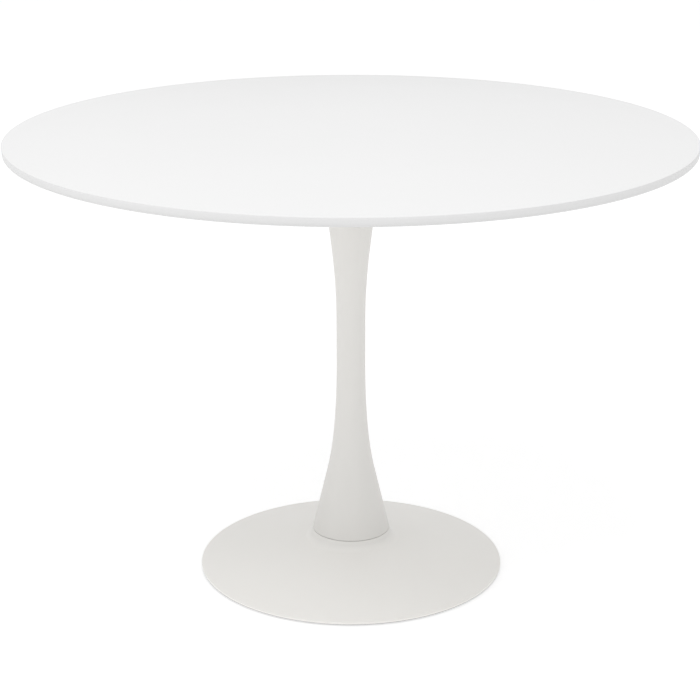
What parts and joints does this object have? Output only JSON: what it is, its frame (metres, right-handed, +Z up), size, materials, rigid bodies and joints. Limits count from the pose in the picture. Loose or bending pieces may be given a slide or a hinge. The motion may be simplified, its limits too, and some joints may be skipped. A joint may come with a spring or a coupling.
{
  "type": "round pedestal table",
  "caption": "Round dining table: thin white disc top on a single flared column with a shallow domed foot, ballast inside and levelling glides under it.",
  "frame": {"origin": "on the floor, on the axis of the column, with the glides screwed in", "axes": "+Z up along the column's axis; -Y towards the viewer; +X to the viewer's right"},
  "size_m": [1.0996, 1.0996, 0.74],
  "materials": {
    "lacquered_board": "satin",
    "white_powder_coat": "satin",
    "bare_steel": "satin",
    "zinc_steel": "satin",
    "zinc_brass": "satin",
    "pale_plastic": "matte",
    "grey_plastic": "matte",
    "cast_iron": "matte",
    "nylon": "matte"
  },
  "bodies": {
    "table": {"tabletop": "lacquered_board", "tabletop_inserts": "zinc_brass", "mounting_plate": "white_powder_coat", "mounting_washers": "zinc_steel", "mounting_screws": "zinc_steel", "plate_hub": "bare_steel", "column_head_gasket": "pale_plastic", "column_shell": "white_powder_coat", "column_top_ring": "bare_steel", "column_bottom_ring": "bare_steel", "column_foot_gasket": "pale_plastic", "base_shell": "white_powder_coat", "base_edge_trim": "grey_plastic", "ballast_weight": "cast_iron", "base_pillar": "bare_steel", "tie_rod": "zinc_steel", "tie_rod_washer": "zinc_steel", "tie_rod_lock_washer": "zinc_steel", "tie_rod_nut": "zinc_steel", "glide_sockets": "zinc_steel"},
    "glide_1": {"glide_pad_1": "nylon"},
    "glide_screw_1": {"glide_stem_1": "zinc_steel"},
    "glide_2": {"glide_pad_2": "nylon"},
    "glide_screw_2": {"glide_stem_2": "zinc_steel"},
    "glide_3": {"glide_pad_3": "nylon"},
    "glide_screw_3": {"glide_stem_3": "zinc_steel"},
    "glide_4": {"glide_pad_4": "nylon"},
    "glide_screw_4": {"glide_stem_4": "zinc_steel"},
    "glide_5": {"glide_pad_5": "nylon"},
    "glide_screw_5": {"glide_stem_5": "zinc_steel"}
  },
  "joints": [
    {"name": "glide_1_lift", "type": "slide", "parent": "table", "child": "glide_1", "axis": [0, 0, -1], "range_m": [0, 0.005]},
    {"name": "glide_1_turn", "type": "hinge", "parent": "glide_1", "child": "glide_screw_1", "pos_m": [0, -0.195, 0.005], "axis": [0, 0, -1], "range_deg": [0, 1440]},
    {"name": "glide_2_lift", "type": "slide", "parent": "table", "child": "glide_2", "axis": [0, 0, -1], "range_m": [0, 0.005]},
    {"name": "glide_2_turn", "type": "hinge", "parent": "glide_2", "child": "glide_screw_2", "pos_m": [0.18546, -0.06026, 0.005], "axis": [0, 0, -1], "range_deg": [0, 1440]},
    {"name": "glide_3_lift", "type": "slide", "parent": "table", "child": "glide_3", "axis": [0, 0, -1], "range_m": [0, 0.005]},
    {"name": "glide_3_turn", "type": "hinge", "parent": "glide_3", "child": "glide_screw_3", "pos_m": [0.11462, 0.15776, 0.005], "axis": [0, 0, -1], "range_deg": [0, 1440]},
    {"name": "glide_4_lift", "type": "slide", "parent": "table", "child": "glide_4", "axis": [0, 0, -1], "range_m": [0, 0.005]},
    {"name": "glide_4_turn", "type": "hinge", "parent": "glide_4", "child": "glide_screw_4", "pos_m": [-0.11462, 0.15776, 0.005], "axis": [0, 0, -1], "range_deg": [0, 1440]},
    {"name": "glide_5_lift", "type": "slide", "parent": "table", "child": "glide_5", "axis": [0, 0, -1], "range_m": [0, 0.005]},
    {"name": "glide_5_turn", "type": "hinge", "parent": "glide_5", "child": "glide_screw_5", "pos_m": [-0.18546, -0.06026, 0.005], "axis": [0, 0, -1], "range_deg": [0, 1440]}
  ],
  "couplings": [
    {"joint": "glide_1_turn", "follows": "glide_1_lift", "rad_per_m": 5026.5},
    {"joint": "glide_2_turn", "follows": "glide_2_lift", "rad_per_m": 5026.5},
    {"joint": "glide_3_turn", "follows": "glide_3_lift", "rad_per_m": 5026.5},
    {"joint": "glide_4_turn", "follows": "glide_4_lift", "rad_per_m": 5026.5},
    {"joint": "glide_5_turn", "follows": "glide_5_lift", "rad_per_m": 5026.5}
  ]
}
